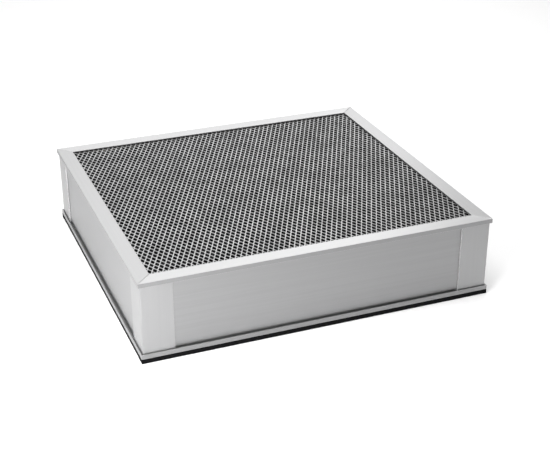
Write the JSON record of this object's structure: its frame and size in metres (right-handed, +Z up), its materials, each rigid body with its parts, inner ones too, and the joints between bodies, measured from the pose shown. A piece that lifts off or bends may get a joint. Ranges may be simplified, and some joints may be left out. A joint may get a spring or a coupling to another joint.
{
  "type": "fume extractor filter cartridge",
  "caption": "Flat rectangular filter cartridge with mitred aluminium rails, corner posts, thin side panels, mesh grilles over pleated media and a black foam gasket round its underside.",
  "frame": {"origin": "centre of the gasket's sealing face, the underside that the cartridge stands and seals on", "axes": "+X along the long front side, +Y from the front side to the back side, +Z up from the gasket to the top rim"},
  "size_m": [0.43, 0.398, 0.1],
  "materials": {
    "rail_aluminium": "fine brushed along the rail, clear anodised, satin",
    "post_aluminium": "smooth rolled, clear anodised, satin",
    "panel_aluminium": "brushed horizontally, satin",
    "grille_metal": "bare expanded metal, bright strand tops and dull cut edges",
    "key_metal": "mill finish, sheared edges",
    "gasket_foam": "closed-cell foam rubber with cut faces, matt",
    "carbon_medium": "fibre mat loaded with charcoal grains, matt",
    "filter_paper": "glass-fibre paper, matt",
    "hot_glue": "set hot-melt bead, slightly waxy",
    "fleece": "thin bonded fleece",
    "potting": "set polyurethane potting compound"
  },
  "bodies": {
    "root": {"top_rail_front": "rail_aluminium", "top_rail_back": "rail_aluminium", "top_rail_left": "rail_aluminium", "top_rail_right": "rail_aluminium", "bottom_rail_front": "rail_aluminium", "bottom_rail_back": "rail_aluminium", "bottom_rail_left": "rail_aluminium", "bottom_rail_right": "rail_aluminium", "panel_front": "panel_aluminium", "panel_back": "panel_aluminium", "panel_left": "panel_aluminium", "panel_right": "panel_aluminium", "post_front_left": "post_aluminium", "post_front_right": "post_aluminium", "post_back_left": "post_aluminium", "post_back_right": "post_aluminium", "top_key_front_left": "key_metal", "top_key_front_right": "key_metal", "top_key_back_left": "key_metal", "top_key_back_right": "key_metal", "bottom_key_front_left": "key_metal", "bottom_key_front_right": "key_metal", "bottom_key_back_left": "key_metal", "bottom_key_back_right": "key_metal", "gasket_front": "gasket_foam", "gasket_back": "gasket_foam", "gasket_left": "gasket_foam", "gasket_right": "gasket_foam", "top_grille": "grille_metal", "bottom_grille": "grille_metal", "carbon_pleats": "carbon_medium", "paper_pleats": "filter_paper", "paper_glue_beads": "hot_glue", "separator_fleece": "fleece", "sealant_front": "potting", "sealant_back": "potting", "sealant_left": "potting", "sealant_right": "potting"}
  },
  "joints": []
}
